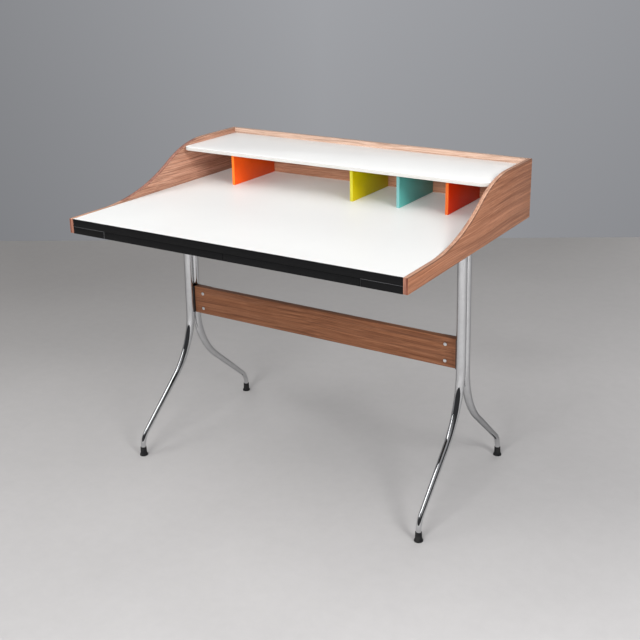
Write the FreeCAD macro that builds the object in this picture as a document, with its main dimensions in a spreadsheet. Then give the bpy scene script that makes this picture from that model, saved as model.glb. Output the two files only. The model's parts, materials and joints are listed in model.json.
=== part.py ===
import FreeCAD, Part
import math
import os
import re

import Sketcher
from FreeCAD import Placement, Rotation, Vector

# A mid-century writing desk of walnut with a white top, a shelf over coloured dividers, two hidden
# shallow drawers and two pairs of bent chrome legs joined by a walnut stretcher.
# Millimetres. X runs to the right, Y to the back, Z up. The origin is on the floor, in the middle.

doc = FreeCAD.newDocument("Desk")
sheet = doc.addObject("Spreadsheet::Sheet", "Sizes")

SIZES = [
    # Whole desk
    ("desk_width", 991),
    ("desk_depth", 724),
    ("desktop_height", 752),
    ("back_rise", 124),
    # Boards of the body
    ("side_thickness", 12.5),
    ("back_thickness", 12.5),
    ("laminate_thickness", 1),
    ("core_thickness", 19),
    ("drawer_layer_height", 19),
    ("front_edge_thickness", 1.2),
    # Curved top edge of the sides
    ("front_flat_length", 122),
    ("lower_curve_radius", 526),
    ("upper_curve_radius", 320),
    # Shelf over the top
    ("shelf_clearance", 100),
    ("shelf_thickness", 9),
    ("shelf_depth", 258.5),
    ("shelf_corner_radius", 26),
    # Coloured dividers under the shelf
    ("divider_thickness", 9),
    ("divider_depth", 205.9),
    ("divider_groove_depth", 3),
    ("groove_clearance", 0.2),
    ("left_bay_width", 138.1),
    ("right_bay_width", 131.1),
    ("divider_pitch", 144),
    # Black fillers at both ends of the drawers
    ("filler_width", 105.8),
    ("filler_depth", 18),
    ("filler_chamfer", 0.8),
    # Rails that carry the top, the legs and the drawers
    ("centre_rail_width", 28),
    ("rear_rail_depth", 40),
    ("rail_setback", 1),
    ("runner_height", 5),
    ("runner_width", 6),
    ("runner_length", 380),
    ("runner_rise", 7),
    ("runner_setback", 9),
    ("runner_clearance", 0.3),
    ("runner_end_clearance", 0.5),
    # Drawers
    ("front_gap", 0.6),
    ("front_top_gap", 0.7),
    ("front_thickness", 12),
    ("drawer_side_gap", 1),
    ("drawer_lift", 1),
    ("drawer_top_gap", 1.5),
    ("drawer_box_length", 400),
    ("drawer_wall_thickness", 10),
    ("drawer_bottom_thickness", 3),
    ("drawer_bottom_rise", 1),
    ("drawer_bottom_groove", 3),
    ("finger_groove_width", 6),
    ("finger_groove_depth", 6),
    ("finger_groove_length", 100),
    ("finger_groove_setback", 3),
    # Legs
    ("leg_plane_setback", 417),
    ("leg_inset", 41.4),
    ("leg_lean_share", 0.01204),
    ("tube_diameter", 25.4),
    ("tube_spacing", 26.7),
    ("tube_middle_diameter", 17.2),
    ("tube_foot_diameter", 14.4),
    ("bend_radius", 252.7),
    ("bend_degrees", 48.9),
    ("foot_bend_radius", 60),
    ("foot_bend_lift", 0.2),
    ("foot_spread", 510.6),
    ("plate_thickness", 4),
    ("plate_width", 80),
    ("plate_length", 160),
    ("plate_screw_spacing_across", 60),
    ("plate_screw_spacing_along", 130),
    ("wood_screw_diameter", 4.8),
    ("wood_screw_reach", 13),
    ("wood_screw_head_width", 8),
    ("wood_screw_head_height", 3),
    ("plate_hole_clearance", 0.35),
    ("pilot_clearance", 0.1),
    ("pilot_end_clearance", 1),
    # Rubber feet
    ("cap_height", 26),
    ("cap_top_diameter", 17),
    ("cap_neck_diameter", 18.5),
    ("cap_neck_height", 8),
    ("cap_base_diameter", 23.5),
    ("cap_base_height", 3),
    ("cap_floor_thickness", 4),
    ("cap_clearance", 0.3),
    # Stretcher between the legs
    ("stretcher_end_gap", 0.34),
    ("stretcher_thickness", 19),
    ("stretcher_top", 452),
    ("stretcher_width", 82),
    ("stretcher_front_setback", 408.5),
    ("bracket_thickness", 3),
    ("bracket_length", 50),
    ("bolt_end_distance", 30.7),
    ("bolt_upper_drop", 18.7),
    ("bolt_spacing", 46.2),
    ("bolt_diameter", 5.8),
    ("bolt_clearance", 0.2),
    ("bolt_head_diameter", 10),
    ("bolt_head_height", 2.4),
    ("bolt_tail", 2),
    ("nut_width", 10),
    ("nut_thickness", 5),
    # How far a cut runs past the face that it opens
    ("overrun", 1),
]

for row, (name, value) in enumerate(SIZES, start=1):
    sheet.set(f"A{row}", name)
    sheet.set(f"B{row}", str(value))
    sheet.setAlias(f"B{row}", name)
doc.recompute()

SIZE_NAME = re.compile(r"[a-z][a-z_]+")

# Places that many pieces share, as sums of the sheet's names.
HALF_WIDTH = "desk_width / 2"
INNER_HALF = "(desk_width / 2 - side_thickness)"
FRONT = "-desk_depth / 2"
BACK_INSIDE = "(desk_depth / 2 - back_thickness)"
TOP_UNDERSIDE = "(desktop_height - laminate_thickness - core_thickness)"
BODY_BOTTOM = "(desktop_height - laminate_thickness - core_thickness - drawer_layer_height)"
TOP_FRONT = "(front_edge_thickness - desk_depth / 2)"
SHELF_FRONT = "(desk_depth / 2 - back_thickness - shelf_depth)"
DIVIDER_FRONT = "(desk_depth / 2 - back_thickness - divider_depth)"
SHELF_UNDERSIDE = "(desktop_height + shelf_clearance)"
FILLER_INNER = "(desk_width / 2 - side_thickness - filler_width)"
FILLER_BACK = "(filler_depth - desk_depth / 2)"
REAR_RAIL_FRONT = "(desk_depth / 2 - back_thickness - rear_rail_depth)"
FRONT_BACK = "(front_thickness - desk_depth / 2)"
BOX_INNER_END = "(centre_rail_width / 2 + drawer_side_gap)"
BOX_OUTER_END = "(desk_width / 2 - side_thickness - filler_width - drawer_side_gap)"
BOX_BACK = "(front_thickness - desk_depth / 2 + drawer_box_length)"
BOX_BOTTOM = f"({BODY_BOTTOM} + drawer_lift)"
BOX_TOP = f"({TOP_UNDERSIDE} - drawer_top_gap)"
RUNNER_BOTTOM = f"({BODY_BOTTOM} + runner_rise)"
RUNNER_FRONT = "(front_thickness - desk_depth / 2 + runner_setback)"
PANEL_BOTTOM = f"({BOX_BOTTOM} + drawer_bottom_rise)"
LEG_PLANE = "(leg_plane_setback - desk_depth / 2)"
LEG_TOP_REACH = f"({INNER_HALF} - leg_inset)"
LEG_REACH_AT_STRETCHER = f"({LEG_TOP_REACH} + ({BODY_BOTTOM} - stretcher_top) * leg_lean_share)"
STRETCHER_HALF = f"({LEG_REACH_AT_STRETCHER} - tube_diameter / 2 - bracket_thickness - stretcher_end_gap)"
STRETCHER_FRONT = "(stretcher_front_setback - desk_depth / 2)"

SIDES = (("left", -1), ("right", 1))

# How many straight spans stand in for each bend of a leg.
BEND_SPANS = 6
FOOT_BEND_SPANS = 3

HEXAGON_SIDES = 6

# Where points and circles of a sketch start, before their limits move them into place.
START_PLACE = 2
START_RADIUS = 1


def size(name):
    """One size of the sheet as a plain number."""
    return float(sheet.get(name))


def bind(item, prop, text):
    """Bind a property to a sum written in the sheet's names."""
    item.setExpression(prop, SIZE_NAME.sub(r"Sizes.\g<0>", text))


def between(side, near, far):
    """The low and high X of a piece that lies near to far from the middle, on one side."""
    if side > 0:
        return near, far
    return f"-({far})", f"-({near})"


def board(label, across, along, up):
    """A plain board between two places on each axis."""
    solid = doc.addObject("Part::Box", label)
    spans = zip(("Length", "Width", "Height"), "xyz", (across, along, up))
    for prop, axis, (low, high) in spans:
        bind(solid, prop, f"({high}) - ({low})")
        bind(solid, f"Placement.Base.{axis}", low)
    return solid


def cylinder(label, diameter, length, turn, place):
    """A round cutter that starts at a place and runs along the turned Z axis."""
    solid = doc.addObject("Part::Cylinder", label)
    solid.Placement = Placement(Vector(0, 0, 0), turn)
    bind(solid, "Radius", f"({diameter}) / 2")
    bind(solid, "Height", length)
    for axis, text in zip("xyz", place):
        bind(solid, f"Placement.Base.{axis}", text)
    return solid


def cut(label, blank, cutters):
    """The blank with every cutter taken out of it."""
    tool = doc.addObject("Part::Compound", f"{label}_cutters")
    tool.Links = cutters
    result = doc.addObject("Part::Cut", label)
    result.Base = blank
    result.Tool = tool
    return result


def new_body(label, place):
    """A body whose own origin is at a place given as three sums."""
    body = doc.addObject("PartDesign::Body", label)
    for axis, text in zip("xyz", place):
        bind(body, f"Placement.Base.{axis}", text)
    return body


def new_sketch(body, name, role, lift="0"):
    """A sketch on one of the body's own planes, lifted off it by a distance."""
    plane = next(item for item in body.Origin.OriginFeatures if item.Role == role)
    sketch = body.newObject("Sketcher::SketchObject", name)
    sketch.AttachmentSupport = [(plane, "")]
    sketch.MapMode = "FlatFace"
    if lift != "0":
        bind(sketch, "AttachmentOffset.Base.z", lift)
    return sketch


def pin(sketch, shape_index, point_index, place):
    """Hold one point of a sketch at its distances from the sketch's origin."""
    axes = (("DistanceX", -2), ("DistanceY", -1))
    for (kind, axis_index), text in zip(axes, place):
        if text == "0":
            sketch.addConstraint(Sketcher.Constraint("PointOnObject", shape_index, point_index, axis_index))
            continue
        limit = Sketcher.Constraint(kind, -1, 1, shape_index, point_index, START_PLACE)
        index = sketch.addConstraint(limit)
        bind(sketch, f"Constraints[{index}]", text)


def outline(sketch, corners):
    """A closed outline of straight lines with every corner held in place."""
    turn = math.tau / len(corners)
    first = sketch.GeometryCount
    starts = []
    for step in range(len(corners)):
        across = START_PLACE + START_RADIUS * math.cos(turn * step)
        starts.append(Vector(across, START_PLACE + START_RADIUS * math.sin(turn * step), 0))
    for step, start in enumerate(starts):
        following = starts[(step + 1) % len(starts)]
        sketch.addGeometry(Part.LineSegment(start, following))
    for step, corner in enumerate(corners):
        after = first + (step + 1) % len(corners)
        sketch.addConstraint(Sketcher.Constraint("Coincident", first + step, 2, after, 1))
        pin(sketch, first + step, 1, corner)


def rectangle(sketch, across, up):
    """A rectangle between two places on both axes of the sketch."""
    (left, right), (low, high) = across, up
    outline(sketch, [(left, low), (right, low), (right, high), (left, high)])


def circle(sketch, diameter, place):
    """A circle with its centre held in place."""
    middle = Vector(START_PLACE, START_PLACE, 0)
    index = sketch.addGeometry(Part.Circle(middle, Vector(0, 0, 1), START_RADIUS))
    pin(sketch, index, 3, place)
    limit = sketch.addConstraint(Sketcher.Constraint("Diameter", index, 2 * START_RADIUS))
    bind(sketch, f"Constraints[{limit}]", diameter)


def pad(body, sketch, length):
    """Raise a sketch into a solid."""
    feature = body.newObject("PartDesign::Pad", "Pad")
    feature.Profile = sketch
    bind(feature, "Length", length)
    sketch.Visibility = False
    return feature


def pocket(body, sketch, depth, reverse):
    """Sink a sketch into the solid."""
    feature = body.newObject("PartDesign::Pocket", "Pocket")
    feature.Profile = sketch
    feature.Reversed = reverse
    bind(feature, "Length", depth)
    sketch.Visibility = False
    return feature


def edges_where(feature, test):
    """Names of the edges whose two ends both pass a test."""
    found = []
    for index, edge in enumerate(feature.Shape.Edges, start=1):
        if all(test(vertex.Point) for vertex in edge.Vertexes):
            found.append(f"Edge{index}")
    return found


def near(first, second):
    """Whether two measures are the same."""
    return math.isclose(first, second, abs_tol=1e-4)


def side_panel(label, side):
    """A walnut side whose top edge sweeps from the flat front up to the high back."""
    low, _ = between(side, INNER_HALF, HALF_WIDTH)
    body = new_body(label, (low, FRONT, BODY_BOTTOM))
    sketch = new_sketch(body, "Outline", "YZ_Plane")
    depth, flat = size("desk_depth"), size("front_flat_length")
    lower, upper = size("lower_curve_radius"), size("upper_curve_radius")
    rise = size("back_rise")
    flat_up = size("laminate_thickness") + size("core_thickness") + size("drawer_layer_height")
    run = math.sqrt(rise * (2 * (lower + upper) - rise))
    slope = math.atan2(run, lower + upper - rise)
    top_up, crest = flat_up + rise, flat + run
    foot, heel = Vector(0, 0, 0), Vector(depth, 0, 0)
    back_top, crest_end = Vector(depth, top_up, 0), Vector(crest, top_up, 0)
    flat_end, flat_start = Vector(flat, flat_up, 0), Vector(0, flat_up, 0)
    upper_circle = Part.Circle(Vector(crest, top_up - upper, 0), Vector(0, 0, 1), upper)
    lower_circle = Part.Circle(Vector(flat, flat_up + lower, 0), Vector(0, 0, 1), lower)
    quarter = math.pi / 2
    shapes = [
        Part.LineSegment(foot, heel),
        Part.LineSegment(heel, back_top),
        Part.LineSegment(back_top, crest_end),
        Part.ArcOfCircle(upper_circle, quarter, quarter + slope),
        Part.ArcOfCircle(lower_circle, -quarter, slope - quarter),
        Part.LineSegment(flat_end, flat_start),
        Part.LineSegment(flat_start, foot),
    ]
    bottom, back, crown, high_arc, low_arc, ledge, front = sketch.addGeometry(shapes)
    joins = [
        ("Coincident", bottom, 2, back, 1),
        ("Coincident", back, 2, crown, 1),
        ("Tangent", crown, 2, high_arc, 1),
        ("Tangent", high_arc, 2, low_arc, 2),
        ("Tangent", low_arc, 1, ledge, 1),
        ("Coincident", ledge, 2, front, 1),
        ("Coincident", front, 2, bottom, 1),
        ("Coincident", bottom, 1, -1, 1),
        ("Horizontal", bottom),
        ("Vertical", back),
        ("Horizontal", crown),
        ("Horizontal", ledge),
        ("Vertical", front),
    ]
    for join in joins:
        sketch.addConstraint(Sketcher.Constraint(*join))
    limits = [
        (("DistanceX", bottom, 1, bottom, 2, depth), "desk_depth"),
        (("DistanceX", ledge, 2, ledge, 1, flat), "front_flat_length"),
        (("DistanceY", front, 2, front, 1, flat_up), f"desktop_height - {BODY_BOTTOM}"),
        (("DistanceY", back, 1, back, 2, top_up), f"desktop_height + back_rise - {BODY_BOTTOM}"),
        (("Radius", low_arc, lower), "lower_curve_radius"),
        (("Radius", high_arc, upper), "upper_curve_radius"),
    ]
    for limit, text in limits:
        index = sketch.addConstraint(Sketcher.Constraint(*limit))
        bind(sketch, f"Constraints[{index}]", text)
    pad(body, sketch, "side_thickness")
    return body


def divider_places():
    """Each divider's name and the X of its left face."""
    lime = f"({INNER_HALF} - right_bay_width - 2 * divider_pitch - divider_thickness)"
    return [
        ("orange", f"(left_bay_width - {INNER_HALF})"),
        ("lime", lime),
        ("turquoise", f"({lime} + divider_pitch)"),
        ("vermilion", f"({lime} + 2 * divider_pitch)"),
    ]


def divider_grooves(label, low, high):
    """Cutters for the stopped grooves that hold the dividers."""
    cutters = []
    for colour, left in divider_places():
        across = (f"{left} - groove_clearance", f"{left} + divider_thickness + groove_clearance")
        along = (f"{DIVIDER_FRONT} - groove_clearance", f"{BACK_INSIDE} + overrun")
        cutters.append(board(f"{label}_groove_{colour}", across, along, (low, high)))
    return cutters


def top_boards():
    """The core board, its white laminate and the black strip along the front."""
    across = (f"-{INNER_HALF}", INNER_HALF)
    along = (TOP_FRONT, BACK_INSIDE)
    core_top = "(desktop_height - laminate_thickness)"
    core = board("desktop_core_blank", across, along, (TOP_UNDERSIDE, core_top))
    core_grooves = divider_grooves("core", "desktop_height - divider_groove_depth", f"{core_top} + overrun")
    sheet_blank = board("desktop_laminate_blank", across, along, (core_top, "desktop_height"))
    slots = divider_grooves("laminate", f"{core_top} - overrun", "desktop_height + overrun")
    return [
        cut("desktop_core", core, core_grooves),
        cut("desktop_laminate", sheet_blank, slots),
        board("desktop_front_edge", across, (FRONT, TOP_FRONT), (TOP_UNDERSIDE, "desktop_height")),
    ]


def upper_shelf():
    """The white shelf, with round front corners and grooves for the dividers underneath."""
    body = new_body("upper_shelf_blank", (f"-{INNER_HALF}", SHELF_FRONT, SHELF_UNDERSIDE))
    sketch = new_sketch(body, "Outline", "XY_Plane")
    rectangle(sketch, ("0", f"2 * {INNER_HALF}"), ("0", "shelf_depth"))
    plain = pad(body, sketch, "shelf_thickness")
    doc.recompute()
    rounding = body.newObject("PartDesign::Fillet", "Corners")
    length = 2 * (size("desk_width") / 2 - size("side_thickness"))
    corners = edges_where(plain, lambda point: near(point.y, 0) and near(point.x, 0))
    corners += edges_where(plain, lambda point: near(point.y, 0) and near(point.x, length))
    rounding.Base = (plain, corners)
    bind(rounding, "Radius", "shelf_corner_radius")
    body.Tip = rounding
    grooves = divider_grooves("shelf", f"{SHELF_UNDERSIDE} - overrun", f"{SHELF_UNDERSIDE} + divider_groove_depth")
    return cut("upper_shelf", body, grooves)


def dividers():
    """Four coloured boards that stand on the floor of their grooves."""
    up = ("desktop_height - divider_groove_depth",
          f"{SHELF_UNDERSIDE} + divider_groove_depth - groove_clearance")
    made = []
    for colour, left in divider_places():
        across = (left, f"{left} + divider_thickness")
        made.append(board(f"divider_{colour}", across, (DIVIDER_FRONT, BACK_INSIDE), up))
    return made


def end_filler(label, side):
    """The black block beside a drawer, with its top and inner front edges chamfered."""
    low, _ = between(side, FILLER_INNER, INNER_HALF)
    body = new_body(label, (low, FRONT, BODY_BOTTOM))
    sketch = new_sketch(body, "Outline", "XY_Plane")
    rectangle(sketch, ("0", "filler_width"), ("0", "filler_depth"))
    plain = pad(body, sketch, "drawer_layer_height")
    doc.recompute()
    inner = 0 if side > 0 else size("filler_width")
    top = size("drawer_layer_height")
    chosen = edges_where(plain, lambda point: near(point.y, 0) and near(point.z, top))
    chosen += edges_where(plain, lambda point: near(point.y, 0) and near(point.x, inner))
    bevel = body.newObject("PartDesign::Chamfer", "Edges")
    bevel.Base = (plain, chosen)
    bind(bevel, "Size", "filler_chamfer")
    body.Tip = bevel
    return body


def plate_screw_places(side):
    """Where the four screws of a leg plate stand."""
    steps = [(across, along) for across in (-1, 1) for along in (-1, 1)]
    return [(f"{side} * {LEG_TOP_REACH} + {across} * plate_screw_spacing_across / 2",
             f"{LEG_PLANE} + {along} * plate_screw_spacing_along / 2") for across, along in steps]


def side_rail(label, side):
    """The board that carries the top over a pair of legs, drilled for the plate's screws."""
    across = between(side, FILLER_INNER, INNER_HALF)
    blank = board(f"{label}_blank", across, (FILLER_BACK, BACK_INSIDE), (BODY_BOTTOM, TOP_UNDERSIDE))
    pilots = []
    for number, (x, y) in enumerate(plate_screw_places(side), start=1):
        pilots.append(cylinder(f"{label}_pilot_{number}",
                               "wood_screw_diameter + 2 * pilot_clearance",
                               "wood_screw_reach + pilot_end_clearance + overrun",
                               Rotation(), (x, y, f"{BODY_BOTTOM} - overrun")))
    return cut(label, blank, pilots)


def rails():
    """The rails under the top and the strips that the drawers run on."""
    made = [side_rail(f"side_rail_{name}", side) for name, side in SIDES]
    up = (BODY_BOTTOM, TOP_UNDERSIDE)
    half = "centre_rail_width / 2"
    made.append(board("centre_rail", (f"-{half}", half), (f"{FRONT_BACK} + rail_setback", REAR_RAIL_FRONT), up))
    made.append(board("rear_rail", (f"-{FILLER_INNER}", FILLER_INNER), (REAR_RAIL_FRONT, BACK_INSIDE), up))
    along = (RUNNER_FRONT, f"{RUNNER_FRONT} + runner_length")
    strip_up = (RUNNER_BOTTOM, f"{RUNNER_BOTTOM} + runner_height")
    for name, side in SIDES:
        outer = between(side, f"{FILLER_INNER} - runner_width", FILLER_INNER)
        inner = between(side, half, f"{half} + runner_width")
        made.append(board(f"runner_{name}_outer", outer, along, strip_up))
        made.append(board(f"runner_{name}_inner", inner, along, strip_up))
    return made


def drawer_front(name, side):
    """A black drawer front with a finger groove underneath and a slot for the bottom panel."""
    label = f"drawer_{name}_front"
    across = between(side, "front_gap", f"{FILLER_INNER} - front_gap")
    blank = board(f"{label}_blank", across, (FRONT, FRONT_BACK), (BODY_BOTTOM, f"{TOP_UNDERSIDE} - front_top_gap"))
    middle = f"{side} * {FILLER_INNER} / 2"
    finger = board(f"{label}_finger",
                   (f"{middle} - finger_groove_length / 2", f"{middle} + finger_groove_length / 2"),
                   (f"{FRONT} + finger_groove_setback", f"{FRONT} + finger_groove_setback + finger_groove_width"),
                   (f"{BODY_BOTTOM} - overrun", f"{BODY_BOTTOM} + finger_groove_depth"))
    slot = board(f"{label}_slot",
                 between(side, panel_edge("inner"), panel_edge("outer")),
                 (f"{FRONT_BACK} - drawer_bottom_groove", f"{FRONT_BACK} + overrun"),
                 panel_slot_up())
    return cut(label, blank, [finger, slot])


def panel_edge(end):
    """How far from the middle the bottom panel's groove reaches, at one end of a drawer."""
    reach = "drawer_wall_thickness - drawer_bottom_groove"
    if end == "inner":
        return f"({BOX_INNER_END} + {reach})"
    return f"({BOX_OUTER_END} - ({reach}))"


def panel_slot_up():
    """Low and high Z of the grooves that hold a drawer's bottom panel."""
    return PANEL_BOTTOM, f"{PANEL_BOTTOM} + drawer_bottom_thickness + groove_clearance"


def drawer_side(name, side, end):
    """A drawer side with a running groove outside and a groove for the bottom panel inside."""
    label = f"drawer_{name}_side_{end}"
    along = (FRONT_BACK, BOX_BACK)
    cut_along = (f"{FRONT_BACK} - overrun", f"{BOX_BACK} + overrun")
    runner_depth = "(runner_width - drawer_side_gap + runner_end_clearance)"
    if end == "inner":
        spans = (BOX_INNER_END, f"{BOX_INNER_END} + drawer_wall_thickness")
        run = (f"{BOX_INNER_END} - overrun", f"{BOX_INNER_END} + {runner_depth}")
        panel = (panel_edge(end), f"{spans[1]} + overrun")
    else:
        spans = (f"{BOX_OUTER_END} - drawer_wall_thickness", BOX_OUTER_END)
        run = (f"{BOX_OUTER_END} - {runner_depth}", f"{BOX_OUTER_END} + overrun")
        panel = (f"{spans[0]} - overrun", panel_edge(end))
    blank = board(f"{label}_blank", between(side, *spans), along, (BOX_BOTTOM, BOX_TOP))
    run_up = (f"{RUNNER_BOTTOM} - runner_clearance", f"{RUNNER_BOTTOM} + runner_height + runner_clearance")
    running = board(f"{label}_run", between(side, *run), cut_along, run_up)
    slot_along = (f"{FRONT_BACK} - overrun", f"{BOX_BACK} - drawer_wall_thickness + drawer_bottom_groove")
    slot = board(f"{label}_slot", between(side, *panel), slot_along, panel_slot_up())
    return cut(label, blank, [running, slot])


def drawer_back(name, side):
    """The low back of a drawer, grooved for the bottom panel."""
    label = f"drawer_{name}_back"
    across = between(side, f"{BOX_INNER_END} + drawer_wall_thickness", f"{BOX_OUTER_END} - drawer_wall_thickness")
    along = (f"{BOX_BACK} - drawer_wall_thickness", BOX_BACK)
    blank = board(f"{label}_blank", across, along, (BOX_BOTTOM, BOX_TOP))
    wide = (f"{across[0]} - overrun", f"{across[1]} + overrun")
    slot = board(f"{label}_slot", wide, (f"{along[0]} - overrun", f"{along[0]} + drawer_bottom_groove"),
                 panel_slot_up())
    return cut(label, blank, [slot])


def drawer(name, side):
    """One drawer: front, two sides, back and a thin bottom panel let into them."""
    across = between(side, f"{panel_edge('inner')} + groove_clearance", f"{panel_edge('outer')} - groove_clearance")
    along = (f"{FRONT_BACK} - drawer_bottom_groove + groove_clearance",
             f"{BOX_BACK} - drawer_wall_thickness + drawer_bottom_groove - groove_clearance")
    return [
        drawer_front(name, side),
        drawer_side(name, side, "inner"),
        drawer_side(name, side, "outer"),
        drawer_back(name, side),
        board(f"drawer_{name}_bottom", across, along, (PANEL_BOTTOM, f"{PANEL_BOTTOM} + drawer_bottom_thickness")),
    ]


def leg_plate(label, side):
    """A flat steel plate with four holes, screwed up under a side rail."""
    middle = f"{side} * {LEG_TOP_REACH}"
    body = new_body(label, (f"{middle} - plate_width / 2", f"{LEG_PLANE} - plate_length / 2",
                            f"{BODY_BOTTOM} - plate_thickness"))
    sketch = new_sketch(body, "Outline", "XY_Plane")
    rectangle(sketch, ("0", "plate_width"), ("0", "plate_length"))
    pad(body, sketch, "plate_thickness")
    holes = new_sketch(body, "Holes", "XY_Plane")
    for across in (-1, 1):
        for along in (-1, 1):
            circle(holes, "wood_screw_diameter + 2 * plate_hole_clearance",
                   (f"plate_width / 2 + {across} * plate_screw_spacing_across / 2",
                    f"plate_length / 2 + {along} * plate_screw_spacing_along / 2"))
    pocket(body, holes, "plate_thickness + overrun", True)
    return body


def leg_stations():
    """Places down a leg's axis: reach from the leg plane, height, turn of the axis and diameter.

    The lower bend ends just over the rubber foot, and the slanting straight sets where the upper bend starts.
    """
    start, foot_reach = size("tube_spacing") / 2, size("foot_spread") / 2
    turn = math.radians(size("bend_degrees"))
    big, small = size("bend_radius"), size("foot_bend_radius")
    top_size, middle_size = size("tube_diameter"), size("tube_middle_diameter")
    foot_size = size("tube_foot_diameter")
    bend_reach = foot_reach - small * (1 - math.cos(turn))
    bend_height = size("cap_height") + size("foot_bend_lift") + small * math.sin(turn)
    slant_start = start + big * (1 - math.cos(turn))
    bend_start = bend_height + (bend_reach - slant_start) / math.tan(turn) + big * math.sin(turn)
    stations = [(start, size("desktop_height"), 0, top_size)]
    for step in range(BEND_SPANS + 1):
        share = step / BEND_SPANS
        angle = turn * share
        reach = start + big * (1 - math.cos(angle))
        height = bend_start - big * math.sin(angle)
        stations.append((reach, height, angle, top_size + (middle_size - top_size) * share))
    for step in range(FOOT_BEND_SPANS + 1):
        angle = turn * (1 - step / FOOT_BEND_SPANS)
        across = bend_reach + small * (math.cos(angle) - math.cos(turn))
        height = bend_height + small * (math.sin(angle) - math.sin(turn))
        stations.append((across, height, angle, foot_size))
    stations.append((foot_reach, 0, 0, foot_size))
    return stations


def leg_bar():
    """An upright leg that follows both bends and the taper, with its axis in the YZ plane."""
    rings = []
    for reach, height, angle, diameter in leg_stations():
        ring = Part.Wire([Part.Circle(Vector(0, 0, 0), Vector(0, 0, 1), diameter / 2).toShape()])
        ring.Placement = Placement(Vector(0, reach, height), Rotation(Vector(1, 0, 0), math.degrees(angle)))
        rings.append(ring)
    return Part.makeLoft(rings, True, True)


def body_bottom():
    """Height of the underside of the desk's body."""
    return (size("desktop_height") - size("laminate_thickness") - size("core_thickness")
            - size("drawer_layer_height"))


def leg_plane():
    """Y of the plane between a front and a rear leg."""
    return size("leg_plane_setback") - size("desk_depth") / 2


def leg_top_reach():
    """How far from the middle a pair of legs meets its plate."""
    return size("desk_width") / 2 - size("side_thickness") - size("leg_inset")


def stretcher_half_length():
    """Half the length of the board between the legs."""
    lean = (body_bottom() - size("stretcher_top")) * size("leg_lean_share")
    bracket_face = size("tube_diameter") / 2 + size("bracket_thickness")
    return leg_top_reach() + lean - bracket_face - size("stretcher_end_gap")


def leg_placement(side, quarter_turns):
    """Lean a leg outward about its top, facing the back or turned to the front."""
    top = Vector(side * leg_top_reach(), leg_plane(), body_bottom())
    lean_degrees = math.degrees(math.atan(size("leg_lean_share")))
    lean = Placement(top, Rotation(Vector(0, 1, 0), -side * lean_degrees))
    facing = Placement(Vector(0, 0, -body_bottom()), Rotation(Vector(0, 0, 1), 90 * quarter_turns))
    return lean.multiply(facing)


def leg_tube(label, side, quarter_turns):
    """A leg, cut level under its plate and on the floor of its rubber foot."""
    tube = leg_bar().transformGeometry(leg_placement(side, quarter_turns).toMatrix())
    floor = size("cap_floor_thickness")
    top = body_bottom() - size("plate_thickness")
    width, depth = size("desk_width"), size("desk_depth")
    slab = Part.makeBox(2 * width, 2 * depth, top - floor, Vector(-width, -depth, floor))
    leg = doc.addObject("Part::Feature", label)
    leg.Shape = tube.common(slab)
    return leg


def foot_cap(name, side, facing):
    """A black rubber foot, flared at the base, that leans with the leg standing in it."""
    body = doc.addObject("PartDesign::Body", name)
    inward = 180 if side > 0 else 0
    body.Placement = Placement(Vector(0, 0, 0), Rotation(Vector(0, 0, 1), inward))
    bind(body, "Placement.Base.x", f"{side} * ({LEG_TOP_REACH} + {BODY_BOTTOM} * leg_lean_share)")
    bind(body, "Placement.Base.y", f"{LEG_PLANE} + {facing} * foot_spread / 2")
    rings = [
        ("cap_base_diameter", "0", "0"),
        ("cap_base_diameter", "cap_base_height", "cap_base_height * leg_lean_share"),
        ("cap_neck_diameter", "cap_neck_height", "cap_neck_height * leg_lean_share"),
        ("cap_top_diameter", "cap_height", "cap_height * leg_lean_share"),
    ]
    sketches = []
    for number, (diameter, lift, lean) in enumerate(rings, start=1):
        ring = new_sketch(body, f"Ring{number}", "XY_Plane", lift)
        circle(ring, diameter, (lean, "0"))
        sketches.append(ring)
    form = body.newObject("PartDesign::AdditiveLoft", "Form")
    form.Profile = sketches[0]
    form.Sections = sketches[1:]
    form.Ruled = True
    mouth = new_sketch(body, "Mouth", "XY_Plane", "cap_height")
    middle = "(cap_height + cap_floor_thickness) / 2"
    circle(mouth, "tube_foot_diameter + 2 * cap_clearance", (f"{middle} * leg_lean_share", "0"))
    pocket(body, mouth, "cap_height - cap_floor_thickness", False)
    return body


def foot_caps(name, side):
    """The front and the rear foot of one pair of legs."""
    pair = doc.addObject("Part::Compound", f"foot_caps_{name}")
    pair.Links = [foot_cap(f"front_foot_{name}", side, -1), foot_cap(f"rear_foot_{name}", side, 1)]
    return pair


def bolt(diameter, length, head):
    """A bolt along Z: its shank starts at zero and its head lies below."""
    shank = Part.makeCylinder(diameter / 2, length)
    return shank.fuse(head)


def hexagon(width, thickness):
    """A hexagonal block that rises from zero along Z."""
    corner = width / math.sqrt(3)
    turns = [math.tau * step / HEXAGON_SIDES for step in range(HEXAGON_SIDES + 1)]
    corners = [Vector(corner * math.cos(turn), corner * math.sin(turn), 0) for turn in turns]
    return Part.Face(Part.makePolygon(corners)).extrude(Vector(0, 0, thickness))


def group(label, shapes):
    """One node of separate solids."""
    node = doc.addObject("Part::Feature", label)
    node.Shape = Part.makeCompound(shapes)
    return node


def leg_plate_screws():
    """Eight hexagon-head screws that hold the leg plates to the side rails."""
    head_height = size("wood_screw_head_height")
    head = hexagon(size("wood_screw_head_width"), head_height).translated(Vector(0, 0, -head_height))
    pattern = bolt(size("wood_screw_diameter"), size("wood_screw_reach") + size("plate_thickness"), head)
    placed = []
    for _, side in SIDES:
        for across in (-1, 1):
            for along in (-1, 1):
                x = side * leg_top_reach() + across * size("plate_screw_spacing_across") / 2
                y = leg_plane() + along * size("plate_screw_spacing_along") / 2
                place = Vector(x, y, body_bottom() - size("plate_thickness"))
                placed.append(pattern.translated(place))
    return group("leg_plate_screws", placed)


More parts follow.
